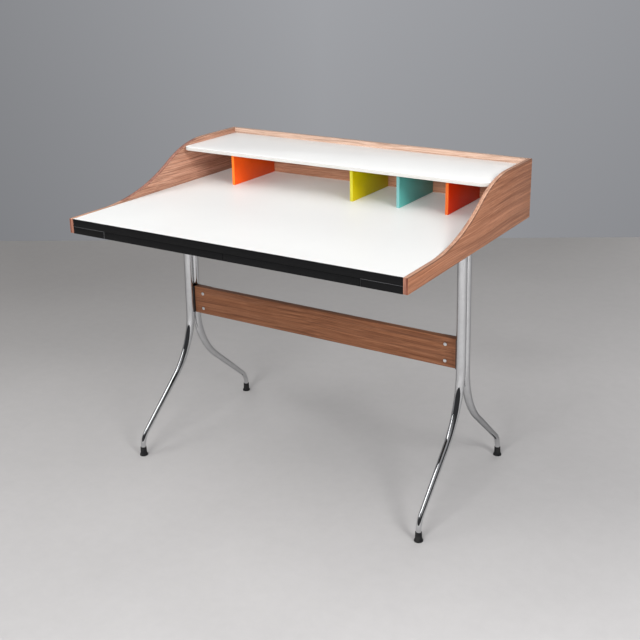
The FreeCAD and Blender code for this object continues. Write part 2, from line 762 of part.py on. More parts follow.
def bolt_places():
    """X and Z of the four bolts through the stretcher."""
    upper = size("stretcher_top") - size("bolt_upper_drop")
    heights = (upper, upper - size("bolt_spacing"))
    reach = stretcher_half_length() - size("bolt_end_distance")
    return [(side * reach, height) for _, side in SIDES for height in heights]


def stretcher_front():
    """Y of the front face of the stretcher."""
    return size("stretcher_front_setback") - size("desk_depth") / 2


def stretcher():
    """The walnut board between the two pairs of legs, drilled for four bolts."""
    body = new_body("stretcher", (f"-{STRETCHER_HALF}", STRETCHER_FRONT, "stretcher_top - stretcher_width"))
    sketch = new_sketch(body, "Outline", "XZ_Plane")
    rectangle(sketch, ("0", f"2 * {STRETCHER_HALF}"), ("0", "stretcher_width"))
    raised = pad(body, sketch, "stretcher_thickness")
    raised.Reversed = True
    holes = new_sketch(body, "Holes", "XZ_Plane")
    for side in (-1, 1):
        for drop in ("bolt_upper_drop", "(bolt_upper_drop + bolt_spacing)"):
            circle(holes, "bolt_diameter + 2 * bolt_clearance",
                   (f"{STRETCHER_HALF} + {side} * ({STRETCHER_HALF} - bolt_end_distance)",
                    f"stretcher_width - {drop}"))
    pocket(body, holes, "stretcher_thickness + overrun", False)
    return body


def stretcher_bracket(label, side):
    """A black angle welded to a pair of legs, with two holes behind the stretcher."""
    front, thick = stretcher_front(), size("bracket_thickness")
    board_back = front + size("stretcher_thickness")
    height, bottom = size("stretcher_width"), size("stretcher_top") - size("stretcher_width")
    tube_face = -size("tube_diameter") / 2
    wing_front = leg_plane() - size("tube_spacing") / 2
    wing = Part.makeBox(thick, board_back + thick - wing_front, height,
                        Vector(tube_face - thick, wing_front - leg_plane(), bottom))
    flange = Part.makeBox(size("bracket_length"), thick, height,
                          Vector(tube_face - size("bracket_length"), board_back - leg_plane(), bottom))
    angle = wing.fuse(flange).removeSplitter()
    if side < 0:
        angle = angle.mirror(Vector(0, 0, 0), Vector(1, 0, 0))
    angle = angle.transformGeometry(leg_placement(side, 0).toMatrix())
    for x, z in bolt_places():
        drill = Part.makeCylinder(size("bolt_diameter") / 2 + size("bolt_clearance"), thick + 2 * size("overrun"),
                                  Vector(x, board_back - size("overrun"), z), Vector(0, 1, 0))
        angle = angle.cut(drill)
    bracket = doc.addObject("Part::Feature", label)
    bracket.Shape = angle
    return bracket


def stretcher_bolts():
    """Four bright bolts through the stretcher and its brackets."""
    length = (size("stretcher_thickness") + size("bracket_thickness") + size("nut_thickness")
              + size("bolt_tail"))
    head_height = size("bolt_head_height")
    head = Part.makeCylinder(size("bolt_head_diameter") / 2, head_height, Vector(0, 0, -head_height))
    pattern = bolt(size("bolt_diameter"), length, head).rotated(Vector(0, 0, 0), Vector(1, 0, 0), -90)
    placed = [pattern.translated(Vector(x, stretcher_front(), z)) for x, z in bolt_places()]
    return group("stretcher_bolts", placed)


def stretcher_nuts():
    """Four hexagon nuts behind the brackets."""
    bore = Part.makeCylinder(size("bolt_diameter") / 2 + size("pilot_clearance"), size("nut_thickness"))
    pattern = hexagon(size("nut_width"), size("nut_thickness")).cut(bore)
    pattern = pattern.rotated(Vector(0, 0, 0), Vector(1, 0, 0), -90)
    back = stretcher_front() + size("stretcher_thickness") + size("bracket_thickness")
    return group("stretcher_nuts", [pattern.translated(Vector(x, back, z)) for x, z in bolt_places()])


def build():
    """Every sub-part of the desk."""
    made = [side_panel(f"side_panel_{name}", side) for name, side in SIDES]
    made.append(board("back_panel", (f"-{INNER_HALF}", INNER_HALF), (BACK_INSIDE, "desk_depth / 2"),
                      (BODY_BOTTOM, "desktop_height + back_rise")))
    made += top_boards()
    made.append(upper_shelf())
    made += dividers()
    made += [end_filler(f"end_filler_{name}", side) for name, side in SIDES]
    made += rails()
    for name, side in SIDES:
        made += drawer(name, side)
    for name, side in SIDES:
        made.append(leg_plate(f"leg_plate_{name}", side))
        made.append(leg_tube(f"leg_tube_front_{name}", side, 2))
        made.append(leg_tube(f"leg_tube_rear_{name}", side, 0))
        made.append(foot_caps(name, side))
        made.append(stretcher_bracket(f"stretcher_bracket_{name}", side))
    made += [leg_plate_screws(), stretcher(), stretcher_bolts(), stretcher_nuts()]
    return made


def check(parts):
    """Stop when a piece didn't come out as a sound solid."""
    for item in doc.Objects:
        if {"Invalid", "Error"} & set(item.State):
            raise RuntimeError(f"{item.Label} is {item.State}")
    for item in parts:
        if item.Shape.isNull() or not item.Shape.isValid() or not item.Shape.Solids:
            raise RuntimeError(f"{item.Label} has no sound solid")


subparts = build()
doc.recompute()
check(subparts)
os.makedirs("parts", exist_ok=True)
for subpart in subparts:
    subpart.Shape.exportStep(f"parts/{subpart.Label}.step")
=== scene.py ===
import json
import math

import bmesh
import bpy
from mathutils import Matrix, Vector

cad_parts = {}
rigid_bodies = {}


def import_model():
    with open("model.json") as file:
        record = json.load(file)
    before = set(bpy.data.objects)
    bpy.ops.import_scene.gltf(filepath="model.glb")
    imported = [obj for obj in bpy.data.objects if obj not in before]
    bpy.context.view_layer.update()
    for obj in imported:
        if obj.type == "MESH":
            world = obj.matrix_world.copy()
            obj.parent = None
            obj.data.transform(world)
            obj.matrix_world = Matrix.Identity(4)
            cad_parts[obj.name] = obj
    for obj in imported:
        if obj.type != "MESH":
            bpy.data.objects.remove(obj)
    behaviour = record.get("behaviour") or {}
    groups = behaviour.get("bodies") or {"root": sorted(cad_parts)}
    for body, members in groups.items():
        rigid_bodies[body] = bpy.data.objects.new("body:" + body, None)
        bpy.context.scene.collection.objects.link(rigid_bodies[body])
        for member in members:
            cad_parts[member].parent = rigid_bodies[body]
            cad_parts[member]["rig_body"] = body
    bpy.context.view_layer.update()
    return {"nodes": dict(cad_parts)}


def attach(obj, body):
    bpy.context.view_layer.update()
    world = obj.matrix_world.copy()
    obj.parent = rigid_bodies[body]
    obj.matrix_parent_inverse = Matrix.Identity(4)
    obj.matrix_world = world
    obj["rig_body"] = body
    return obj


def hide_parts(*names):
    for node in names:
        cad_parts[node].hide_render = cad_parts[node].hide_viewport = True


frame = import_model()

NODES = frame["nodes"]
SCENE = bpy.context.scene
MM = 0.001

# The photo's camera: image size and picture centre in pixels, angles in degrees, lengths in metres.
IMAGE_SIZE = 640
FOCAL_PIXELS = 1020.94
SENSOR_WIDTH_MM = 36
CAMERA_AZIMUTH = 30.267
CAMERA_ELEVATION = 17.726
CAMERA_ROLL = -0.349
CAMERA_TARGET = Vector((-0.15314, 0.52085, 0.45))
CAMERA_DISTANCE = 3.31092
CENTRE_COLUMN = 354.05
CENTRE_ROW = 258.11
NEAREST_SEEN, FARTHEST_SEEN = 0.05, 60


# Node trees

# The colour sockets of a mix node share their names with others, so they go by number.
MIX_FACTOR, MIX_FIRST_COLOUR, MIX_SECOND_COLOUR = 0, 6, 7
MIX_COLOUR = 2

# Half way between a noise colour's darkest and lightest.
MIDDLE_GREY = (0.5, 0.5, 0.5)


def new_look(name):
    """A new material with only its shader and output; gives the material and its shader."""
    look = bpy.data.materials.new(name)
    look.use_nodes = True
    return look, look.node_tree.nodes["Principled BSDF"]


def add(look, kind, inputs=None, **settings):
    """Add one node, set its options, and set or link its inputs."""
    node = look.node_tree.nodes.new(kind)
    for name, value in settings.items():
        setattr(node, name, value)
    for name, value in (inputs or {}).items():
        put(look, node.inputs[name], value)
    return node


def put(look, socket, value):
    """Link a socket to another, or set its plain value."""
    if isinstance(value, bpy.types.NodeSocket):
        look.node_tree.links.new(value, socket)
    else:
        socket.default_value = value


def place(look, stretch=(1, 1, 1), shift=(0, 0, 0), start=None):
    """The object's own coordinates in metres, or a place made from them, stretched along each axis."""
    source = start or add(look, "ShaderNodeTexCoord").outputs["Object"]
    inputs = {"Vector": source, "Scale": stretch, "Location": shift}
    return add(look, "ShaderNodeMapping", inputs).outputs["Vector"]


def swayed(look, vector, scale, amount):
    """A place pushed slowly to and fro, so that straight lines through it bend."""
    waves = add(look, "ShaderNodeTexNoise", {"Vector": vector, "Scale": scale, "Detail": 1})
    centred = add(look, "ShaderNodeVectorMath", operation="SUBTRACT")
    put(look, centred.inputs[0], waves.outputs["Color"])
    centred.inputs[1].default_value = MIDDLE_GREY
    push = add(look, "ShaderNodeVectorMath", {"Scale": amount}, operation="SCALE")
    put(look, push.inputs[0], centred.outputs[0])
    moved = add(look, "ShaderNodeVectorMath", operation="ADD")
    put(look, moved.inputs[0], vector)
    put(look, moved.inputs[1], push.outputs[0])
    return moved.outputs[0]


def noise(look, vector, scale, detail=4, roughness=0.5, distortion=0.0):
    """A noise pattern from zero to one."""
    inputs = {"Vector": vector, "Scale": scale, "Detail": detail, "Roughness": roughness,
              "Distortion": distortion}
    return add(look, "ShaderNodeTexNoise", inputs).outputs["Fac"]


def ramp(look, value, stops):
    """Colours along a value; each stop is a place and a colour."""
    node = add(look, "ShaderNodeValToRGB", {"Fac": value})
    marks = node.color_ramp.elements
    while len(marks) < len(stops):
        marks.new(0.5)
    for mark, (position, colour) in zip(marks, stops):
        mark.position = position
        mark.color = (*colour, 1)
    return node.outputs["Color"]


def spread(look, value, low, high):
    """A value from zero to one, spread between a low and a high."""
    inputs = {"Value": value, "To Min": low, "To Max": high}
    return add(look, "ShaderNodeMapRange", inputs).outputs["Result"]


def mixed(look, factor, first, second, how="MIX"):
    """Two colours mixed by a factor."""
    node = add(look, "ShaderNodeMix", data_type="RGBA", blend_type=how)
    put(look, node.inputs[MIX_FACTOR], factor)
    put(look, node.inputs[MIX_FIRST_COLOUR], first)
    put(look, node.inputs[MIX_SECOND_COLOUR], second)
    return node.outputs[MIX_COLOUR]


def multiplied(look, factor, first, second):
    """A colour multiplied by another; the factor is how much of the change is kept."""
    return mixed(look, factor, first, second, "MULTIPLY")


def bump(look, height, strength, distance):
    """A surface relief."""
    inputs = {"Height": height, "Strength": strength, "Distance": distance}
    return add(look, "ShaderNodeBump", inputs).outputs["Normal"]


def along_direction(look, start, direction, low, high):
    """How far a place or a direction lies along another direction, as a value from zero to one."""
    dot = add(look, "ShaderNodeVectorMath", {0: start}, operation="DOT_PRODUCT")
    dot.inputs[1].default_value = direction
    inputs = {"Value": dot.outputs["Value"], "From Min": low, "From Max": high}
    return add(look, "ShaderNodeMapRange", inputs).outputs["Result"]


def surface(look, shader, colour, roughness, relief=None):
    """Link what every look sets: its colour, its roughness and, where it has one, its relief."""
    put(look, shader.inputs["Base Color"], colour)
    put(look, shader.inputs["Roughness"], roughness)
    if relief is not None:
        put(look, shader.inputs["Normal"], relief)


# Materials

# The inner and outer faces of the side panels, in metres from the middle of the desk.
SIDE_INNER_FACE, SIDE_OUTER_FACE = 0.483, 0.4955

# Multiplied with another colour, this one leaves it as it is.
PLAIN = (1, 1, 1)

# Tones from the inner face to the outer one: the rim shows the panel's layers, with painted shade in darker
# strips along its inner and outer edges, and its front end shows its layers too.
RIM_CORE = (0.80, 0.77, 0.78)
RIM_LAYERS_AND_SHADE = [(0.0, (0.58, 0.56, 0.56)), (0.12, RIM_CORE), (0.60, RIM_CORE), (0.66, PLAIN),
              (0.76, PLAIN), (0.82, (0.36, 0.30, 0.28))]
# The left panel's steep front rim is darker: painted shade, where it gets less light from above.
LEFT_SLOPE_SHADE = [(0.0, (0.46, 0.36, 0.38)), (0.60, (0.50, 0.39, 0.41)), (0.82, (0.36, 0.28, 0.28))]
END_PLY = (0.62, 0.48, 0.44)
END_LAYERS = [(0.0, PLAIN), (0.56, PLAIN), (0.62, END_PLY), (0.92, END_PLY), (1.0, PLAIN)]

# How closely walnut's patterns repeat along the grain and across it.
BAND_STRETCH = (0.5, 8)
STREAK_STRETCH = (0.36, 27)
LINE_STRETCH = (0.36, 78)
HAIR_STRETCH = (0.9, 150)
PORE_STRETCH = (5, 190)
BAND_SCALE = 2.2
GRAIN_SCALE = 6

# How much each pattern counts in the wood's colour.
HAIR_SHARE = 0.36
BAND_SHARE = 0.6
STREAK_SHARE = 0.7
PORE_SHARE = 0.6

# How closely the grain sways, and how far in metres.
SWAY_SCALE, SWAY_AMOUNT = 2.6, 0.022


def through_side(look):
    """How far a place lies through a side panel: zero at its inner face, one at its outer face."""
    x = add(look, "ShaderNodeSeparateXYZ", {"Vector": place(look)}).outputs["X"]
    outward = add(look, "ShaderNodeMath", {0: x}, operation="ABSOLUTE").outputs[0]
    inputs = {"Value": outward, "From Min": SIDE_INNER_FACE, "From Max": SIDE_OUTER_FACE}
    return add(look, "ShaderNodeMapRange", inputs).outputs["Result"]


def walnut(name, along, dark, middle, pale, shift=(0, 0, 0), layers=None):
    """Oiled walnut with its grain along one axis: bands, streaks, crisp lines, finer hairs and pores."""
    look, shader = new_look(name)
    bent = swayed(look, place(look), SWAY_SCALE, SWAY_AMOUNT)

    def stretched(pattern):
        slow, quick = pattern
        return place(look, tuple(slow if axis == along else quick for axis in "XYZ"), shift, bent)

    bands = noise(look, stretched(BAND_STRETCH), BAND_SCALE, detail=3, distortion=0.4)
    streaks = noise(look, stretched(STREAK_STRETCH), GRAIN_SCALE, roughness=0.64, distortion=0.2)
    lines = noise(look, stretched(LINE_STRETCH), GRAIN_SCALE, roughness=0.62, distortion=0.1)
    hairs = noise(look, stretched(HAIR_STRETCH), GRAIN_SCALE, detail=2, roughness=0.6)
    pores = noise(look, stretched(PORE_STRETCH), GRAIN_SCALE, detail=3, roughness=0.6)
    figure = mixed(look, HAIR_SHARE, lines, hairs)
    tone = ramp(look, figure, [(0.32, dark), (0.50, middle), (0.68, pale)])
    shade = ramp(look, bands, [(0.36, (0.84, 0.81, 0.79)), (0.52, PLAIN), (0.68, (1.07, 1.06, 1.05))])
    deep = ramp(look, streaks, [(0.38, (0.68, 0.61, 0.58)), (0.48, PLAIN), (0.62, (1.25, 1.25, 1.25))])
    pits = ramp(look, pores, [(0.34, (0.62, 0.56, 0.52)), (0.44, PLAIN)])
    banded = multiplied(look, BAND_SHARE, tone, shade)
    streaky = multiplied(look, STREAK_SHARE, banded, deep)
    wood = multiplied(look, PORE_SHARE, streaky, pits)
    # Tones across a side panel's thickness; on the rim they carry painted shade as well as layers.
    if layers:
        wood = multiplied(look, 1.0, wood, ramp(look, through_side(look), layers))
    relief = bump(look, pores, strength=0.18, distance=0.0003)
    surface(look, shader, wood, spread(look, lines, 0.44, 0.60), relief)
    shader.inputs["Specular IOR Level"].default_value = 0.3
    return look


def laminate(name, colour):
    """Smooth white laminate with a very fine pebbled skin and faint unevenness."""
    look, shader = new_look(name)
    skin = noise(look, place(look), scale=900, detail=2)
    clouds = noise(look, place(look), scale=5, detail=3)
    paler = tuple(min(1, part * 1.02) for part in colour)
    uneven = ramp(look, clouds, [(0.35, colour), (0.65, paler)])
    relief = bump(look, skin, strength=0.06, distance=0.0002)
    surface(look, shader, uneven, spread(look, clouds, 0.38, 0.46), relief)
    return look


# The roughness of satin paint, and how much darker its mottling is.
SATIN, MOTTLE_DEPTH = 0.38, 0.12


def lacquer(name, colour, roughness=SATIN, gloss=0.5):
    """Sprayed paint on board: slow mottling, a little orange peel and uneven gloss."""
    look, shader = new_look(name)
    mottle = noise(look, place(look), scale=14)
    peel = noise(look, place(look), scale=420, detail=2)
    darker = tuple(part * (1 - MOTTLE_DEPTH) for part in colour)
    mottled = ramp(look, mottle, [(0.3, darker), (0.7, colour)])
    relief = bump(look, peel, strength=0.08, distance=0.0003)
    surface(look, shader, mottled, spread(look, mottle, roughness - 0.05, roughness + 0.06), relief)
    shader.inputs["Specular IOR Level"].default_value = gloss
    return look


def raw_board(name, dark, pale, along, slow=3.0, quick=60.0):
    """Plain sanded wood or fibreboard for what is hidden under the top."""
    look, shader = new_look(name)
    stretch = tuple(slow if axis == along else quick for axis in "XYZ")
    fibres = noise(look, place(look, stretch), scale=3, detail=6, roughness=0.65, distortion=0.3)
    grit = noise(look, place(look), scale=700, detail=2)
    striped = ramp(look, fibres, [(0.3, dark), (0.7, pale)])
    relief = bump(look, grit, strength=0.2, distance=0.0003)
    surface(look, shader, striped, spread(look, fibres, 0.6, 0.8), relief)
    return look


# How much a metal still mirrors where it is seen at a glance.
EDGE_TINT = (0.35, 0.35, 0.36)


def metal(name, colour, low, high, scale=(60, 60, 60), strength=0.02):
    """Bare or plated metal with fine uneven polish."""
    look, shader = new_look(name)
    wear = noise(look, place(look, scale), scale=1, detail=5, roughness=0.6)
    fine = noise(look, place(look, scale), scale=14, detail=3)
    dim = tuple(part * 0.93 for part in colour)
    worn = ramp(look, wear, [(0.3, dim), (0.6, colour)])
    surface(look, shader, worn, spread(look, wear, low, high), bump(look, fine, strength, distance=0.0002))
    shader.inputs["Metallic"].default_value = 1
    shader.inputs["Specular Tint"].default_value = (*EDGE_TINT, 1)
    return look


def rubber(name):
    """Matte black moulded rubber, a little dusty."""
    look, shader = new_look(name)
    dust = noise(look, place(look), scale=90, detail=5)
    grain = noise(look, place(look), scale=1200, detail=2)
    dusty = ramp(look, dust, [(0.4, (0.010, 0.010, 0.011)), (0.8, (0.028, 0.027, 0.026))])
    relief = bump(look, grain, strength=0.25, distance=0.0003)
    surface(look, shader, dusty, spread(look, dust, 0.55, 0.75), relief)
    shader.inputs["Specular IOR Level"].default_value = 0.2
    return look


# Tones of the walnut on each kind of face, from its darkest lines to its palest.
WALNUT = {"dark": (0.228, 0.087, 0.045), "middle": (0.402, 0.174, 0.095), "pale": (0.535, 0.272, 0.166)}
# The side panels' inner faces: a paler, pinker copy of the walnut, as painted light.
LIT_INNER_WALNUT = {"dark": (0.200, 0.082, 0.048), "middle": (0.470, 0.244, 0.162), "pale": (0.700, 0.440, 0.330)}
PALE_WALNUT = {"dark": (0.380, 0.200, 0.130), "middle": (0.580, 0.335, 0.225), "pale": (0.730, 0.470, 0.345)}
END_WALNUT = {"dark": (0.150, 0.060, 0.039), "middle": (0.258, 0.116, 0.079), "pale": (0.344, 0.172, 0.122)}
BACK_WALNUT = {"dark": (0.200, 0.088, 0.050), "middle": (0.350, 0.172, 0.105), "pale": (0.470, 0.262, 0.172)}
# The back's lip: a paler, greyer copy of the back's walnut, as a painted sheen.
SHEEN_LIP_WALNUT = {"dark": (0.290, 0.175, 0.125), "middle": (0.440, 0.300, 0.228), "pale": (0.580, 0.430, 0.345)}
# The stretcher's walnut is darker than the sides': painted shade under the desk.
SHADED_STRETCHER_WALNUT = {"dark": (0.080, 0.028, 0.013), "middle": (0.158, 0.064, 0.031), "pale": (0.240, 0.110, 0.058)}

LOOKS = {
    "side": walnut("walnut_sides", "Y", **WALNUT),
    "side_inner_lit": walnut("walnut_side_insides", "Y", **LIT_INNER_WALNUT, shift=(0, 1, 3)),
    "side_edge": walnut("walnut_side_edges", "Y", **PALE_WALNUT, shift=(0, 2, 0), layers=RIM_LAYERS_AND_SHADE),
    "left_slope_shade": walnut("walnut_left_slope", "Y", **PALE_WALNUT, shift=(0, 2, 0), layers=LEFT_SLOPE_SHADE),
    "side_end": walnut("walnut_side_ends", "Z", **END_WALNUT, shift=(0, 5, 0), layers=END_LAYERS),
    "back": walnut("walnut_back", "X", **BACK_WALNUT, shift=(3, 0, 1)),
    "back_lip_sheen": walnut("walnut_back_lip", "X", **SHEEN_LIP_WALNUT, shift=(1, 4, 0)),
    "stretcher": walnut("walnut_stretcher", "X", **SHADED_STRETCHER_WALNUT, shift=(7, 0, 5)),
    "white": laminate("white_laminate", (0.815, 0.815, 0.800)),
    # The shelf's laminate is a paler copy of the desktop's: painted light.
    "white_shelf": laminate("white_shelf_laminate", (0.865, 0.865, 0.850)),
    # The shelf's front face: a darker copy of the laminate, as painted shade.
    "white_edge": laminate("white_edge_band", (0.51, 0.50, 0.475)),
    "black": lacquer("black_front", (0.0055, 0.0055, 0.0058), 0.45, gloss=0.11),
    # The end blocks' chamfers: a paler black, as a painted highlight along the seams.
    "black_edge": lacquer("black_chamfer_painted_highlight", (0.075, 0.075, 0.078), 0.40, gloss=0.3),
    "orange": lacquer("orange_lacquer", (0.94, 0.098, 0.003), gloss=0.3),
    "lime": lacquer("lime_lacquer", (0.67, 0.52, 0.001), gloss=0.12),
    "turquoise": lacquer("turquoise_lacquer", (0.100, 0.44, 0.40), gloss=0.3),
    "vermilion": lacquer("vermilion_lacquer", (0.77, 0.034, 0.001), gloss=0.12),
    # The dividers' front faces: greyer copies of their paint, as painted highlights.
    "orange_edge": lacquer("orange_edges", (0.90, 0.195, 0.022), gloss=0.3),
    "lime_edge": lacquer("lime_edges", (0.54, 0.49, 0.040), gloss=0.3),
    "turquoise_edge": lacquer("turquoise_edges", (0.165, 0.38, 0.38), gloss=0.3),
    "vermilion_edge": lacquer("vermilion_edges", (0.63, 0.125, 0.020), gloss=0.3),
    # The boards and rails under the top are near black: partly stain, partly painted shade, which the chrome
    # mirrors.
    "core": raw_board("stained_and_shaded_board", (0.016, 0.014, 0.013), (0.026, 0.023, 0.021), "X", 30, 60),
    "rail": raw_board("stained_and_shaded_rails", (0.018, 0.015, 0.013), (0.030, 0.025, 0.022), "Y"),
    "chrome": metal("chrome", (0.68, 0.685, 0.695), 0.02, 0.05),
    "bright": metal("bright_steel", (0.74, 0.74, 0.73), 0.18, 0.30, (200, 200, 200), 0.05),
    "dark_steel": lacquer("black_steel", (0.016, 0.016, 0.017), 0.42),
    "rubber": rubber("black_rubber"),
}

DIVIDER_COLOURS = ["orange", "lime", "turquoise", "vermilion"]

# Which look each CAD node wears, by how its name starts.
NODE_LOOKS = [
    ("side_panel", "side"),
    ("back_panel", "back"),
    ("desktop_core", "core"),
    ("desktop_laminate", "white"),
    ("desktop_front_edge", "black"),
    ("upper_shelf", "white_shelf"),
    *[(f"divider_{colour}", colour) for colour in DIVIDER_COLOURS],
    ("end_filler", "black"),
    ("side_rail", "rail"),
    ("centre_rail", "rail"),
    ("rear_rail", "rail"),
    ("runner", "rail"),
    ("drawer_left_front", "black"),
    ("drawer_right_front", "black"),
    ("drawer_left_bottom", "core"),
    ("drawer_right_bottom", "core"),
    ("drawer", "rail"),
    ("leg_tube", "chrome"),
    ("leg_plate_screws", "bright"),
    ("leg_plate", "dark_steel"),
    ("stretcher_bracket", "dark_steel"),
    ("stretcher_bolts", "bright"),
    ("stretcher_nuts", "bright"),
    ("stretcher", "stretcher"),
    ("foot_caps", "rubber"),
]


def look_of(node_name):
    """The key of the look that a CAD node wears."""
    return next(key for start, key in NODE_LOOKS if node_name.startswith(start))


# Geometry

def body_of(node_name):
    """The body of the record that carries a node."""
    return NODES[node_name]["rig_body"]


def stand_for(piece, *node_names):
    """Show a finished piece in place of its CAD nodes."""
    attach(piece, body_of(node_names[0]))
    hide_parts(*node_names)


def new_piece(name, mesh, key):
    """A smooth-shaded object from a finished bmesh, with one look."""
    data = bpy.data.meshes.new(name)
    mesh.to_mesh(data)
    mesh.free()
    data.materials.append(LOOKS[key])
    for face in data.polygons:
        face.use_smooth = True
    piece = bpy.data.objects.new(name, data)
    SCENE.collection.objects.link(piece)
    return piece


# The back is paler above this height, in metres: a painted sheen on its lip.
LIP_BOTTOM = 0.861

# The least share of a face's normal that points one way, for the face to belong to each kind.
INNER_SHARE = 0.9
RIM_SHARE = 0.2
SLOPE_SHARE = 0.12
PANEL_END_SHARE = 0.8
BACK_OUTSIDE_SHARE = 0.4
SHELF_FRONT_SHARE = 0.3
DIVIDER_FRONT_SHARE = 0.5
CHAMFER_SHARE = 0.4


def is_rim(face):
    """Whether a face of a side panel lies on its top edge."""
    return face.normal.z > RIM_SHARE


def is_lip(face):
    """Whether a face of the back lies on its lip and isn't its outer face."""
    return face.center.z > LIP_BOTTOM and face.normal.y < BACK_OUTSIDE_SHARE


def is_chamfer(face):
    """Whether a face of a black end block is the chamfer around its front."""
    sideways_or_up = max(abs(face.normal.x), face.normal.z)
    return face.normal.y < -CHAMFER_SHARE and sideways_or_up > CHAMFER_SHARE


def is_divider_front(face):
    """Whether a face of a divider looks to the front."""
    return face.normal.y < -DIVIDER_FRONT_SHARE


# Looks of the faces that differ from the rest of their piece: the piece, a test of the face, the look.
FACE_LOOKS = [
    # The inner faces wear the paler walnut, which is painted light.
    ("side_panel_left", lambda face: face.normal.x > INNER_SHARE, "side_inner_lit"),
    ("side_panel_right", lambda face: face.normal.x < -INNER_SHARE, "side_inner_lit"),
    ("side_panel", is_rim, "side_edge"),
    # The left panel's steep front rim wears painted shade.
    ("side_panel_left", lambda face: is_rim(face) and face.normal.y < -SLOPE_SHARE, "left_slope_shade"),
    ("side_panel", lambda face: face.normal.y < -PANEL_END_SHARE, "side_end"),
    # The back's lip wears a painted sheen.
    ("back_panel", is_lip, "back_lip_sheen"),
    # The shelf's front face wears the darker laminate: painted shade.
    ("upper_shelf", lambda face: face.normal.y < -SHELF_FRONT_SHARE, "white_edge"),
    # The dividers' front faces wear painted highlights.
    *[(f"divider_{colour}", is_divider_front, f"{colour}_edge") for colour in DIVIDER_COLOURS],
    # The end blocks' chamfers wear a painted highlight.
    ("end_filler", is_chamfer, "black_edge"),
]


def vary_faces(piece, node_name):
    """Give the faces named in the list their own look."""
    for start, test, key in FACE_LOOKS:
        if not node_name.startswith(start):
            continue
        piece.data.materials.append(LOOKS[key])
        for face in piece.data.polygons:
            if test(face):
                face.material_index = len(piece.data.materials) - 1


def part_at_lip(mesh):
    """Part the faces of the back along the lower edge of its lip."""
    everything = mesh.verts[:] + mesh.edges[:] + mesh.faces[:]
    bmesh.ops.bisect_plane(mesh, geom=everything, plane_co=(0, 0, LIP_BOTTOM), plane_no=(0, 0, 1))


# How the CAD shapes are cleaned, rounded and shaded, in millimetres, degrees and counts.
MERGE_DISTANCE = 0.002
FLAT_DEGREES = 0.5
ROUNDED_DEGREES = 25
BEVEL_SEGMENTS = 2
BOARD_SHADE_DEGREES = 35
TUBE_SHADE_DEGREES = 60


def soften(node_name, width_mm):
    """Show a CAD node with its sharp edges slightly rounded."""
    mesh = bmesh.new()
    mesh.from_mesh(NODES[node_name].data)
    bmesh.ops.remove_doubles(mesh, verts=mesh.verts, dist=MERGE_DISTANCE * MM)
    flat_limit = math.radians(FLAT_DEGREES)
    bmesh.ops.dissolve_limit(mesh, angle_limit=flat_limit, verts=mesh.verts, edges=mesh.edges)
    limit = math.radians(ROUNDED_DEGREES)
    sharp = [edge for edge in mesh.edges if edge.is_manifold and edge.calc_face_angle(0) > limit]
    bmesh.ops.bevel(mesh, geom=sharp, offset=width_mm * MM, segments=BEVEL_SEGMENTS, profile=0.5,
                    affect="EDGES", clamp_overlap=True, harden_normals=False)
    if node_name == "back_panel":
        part_at_lip(mesh)
    piece = new_piece(f"{node_name}_shown", mesh, look_of(node_name))
    mark_sharp(piece, BOARD_SHADE_DEGREES)
    vary_faces(piece, node_name)
    stand_for(piece, node_name)


def mark_sharp(piece, degrees):
    """Shade smooth, but keep edges steeper than an angle sharp."""
    mesh = bmesh.new()
    mesh.from_mesh(piece.data)
    limit = math.radians(degrees)
    for edge in mesh.edges:
        edge.smooth = not (edge.is_manifold and edge.calc_face_angle(0) > limit)
    mesh.to_mesh(piece.data)
    mesh.free()


def dress(node_name):
    """Give a CAD node its look and leave its shape alone."""
    data = NODES[node_name].data
    data.materials.clear()
    data.materials.append(LOOKS[look_of(node_name)])


# Legs, in millimetres as in the part's source

LEG_PLANE = 55.0
LEG_TOP_REACH = 441.6
LEG_LEAN_SHARE = 0.01204
BODY_BOTTOM = 713.0
PLATE_THICKNESS = 4.0
CAP_FLOOR = 4.0
TUBE_DIAMETER = 25.4
TUBE_SPACING = 26.7
MIDDLE_DIAMETER = 17.2
FOOT_DIAMETER = 14.4
BEND_RADIUS = 252.7
BEND_DEGREES = 48.9
FOOT_BEND_RADIUS = 60.0
FOOT_BEND_LIFT = 0.2
CAP_HEIGHT = 26.0
FOOT_SPREAD = 510.6
BEND_STEPS = 40
FOOT_BEND_STEPS = 24
TUBE_SIDES = 64


def leg_path():
    """Places down a leg: reach from the leg plane, height, turn of the axis and diameter."""
    start, foot, turn = TUBE_SPACING / 2, FOOT_SPREAD / 2, math.radians(BEND_DEGREES)
    bend_reach = foot - FOOT_BEND_RADIUS * (1 - math.cos(turn))
    bend_height = CAP_HEIGHT + FOOT_BEND_LIFT + FOOT_BEND_RADIUS * math.sin(turn)
    slant_start = start + BEND_RADIUS * (1 - math.cos(turn))
    bend_start = bend_height + (bend_reach - slant_start) / math.tan(turn) + BEND_RADIUS * math.sin(turn)
    stations = [(start, BODY_BOTTOM - PLATE_THICKNESS, 0, TUBE_DIAMETER)]
    for step in range(BEND_STEPS + 1):
        share = step / BEND_STEPS
        angle = turn * share
        reach = start + BEND_RADIUS * (1 - math.cos(angle))
        height = bend_start - BEND_RADIUS * math.sin(angle)
        stations.append((reach, height, angle, TUBE_DIAMETER + (MIDDLE_DIAMETER - TUBE_DIAMETER) * share))
    for step in range(FOOT_BEND_STEPS + 1):
        angle = turn * (1 - step / FOOT_BEND_STEPS)
        across = bend_reach + FOOT_BEND_RADIUS * (math.cos(angle) - math.cos(turn))
        height = bend_height + FOOT_BEND_RADIUS * (math.sin(angle) - math.sin(turn))
        stations.append((across, height, angle, FOOT_DIAMETER))
    stations.append((foot, CAP_FLOOR, 0, FOOT_DIAMETER))
    return stations


